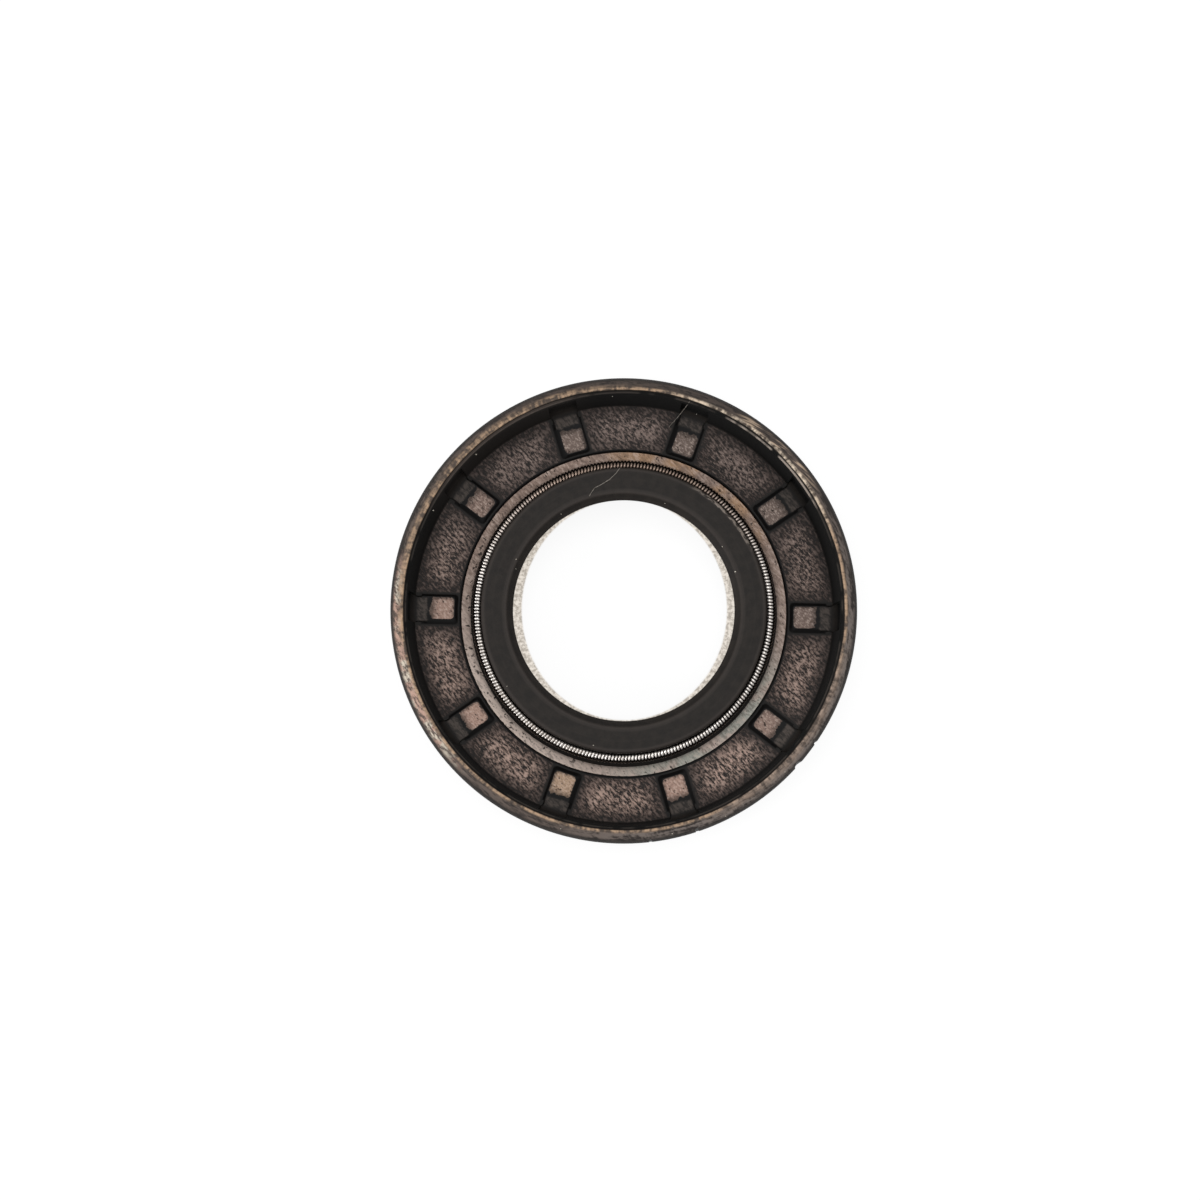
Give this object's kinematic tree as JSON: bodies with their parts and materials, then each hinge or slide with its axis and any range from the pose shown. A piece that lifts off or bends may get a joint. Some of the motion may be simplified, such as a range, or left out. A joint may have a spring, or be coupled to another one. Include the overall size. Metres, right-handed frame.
{
  "type": "radial shaft seal",
  "caption": "Rubber-covered radial shaft seal: steel case of L section, spring-loaded sealing lip, dust lip, and bare-steel pockets round its web.",
  "frame": {"origin": "centre of the flat back face, the air side, on the shaft axis", "axes": "+Z along the shaft axis towards the spring side; +X to the right and +Y up in the picture"},
  "size_m": [0.04, 0.04, 0.007],
  "materials": {
    "moulded_rubber": "matte moulded rubber, mottled on the web",
    "case_steel": "dull steel with a thin brownish primer",
    "spring_wire": "bright drawn wire"
  },
  "bodies": {
    "root": {"rubber_body": "moulded_rubber", "steel_case": "case_steel", "garter_spring": "spring_wire"}
  },
  "joints": []
}
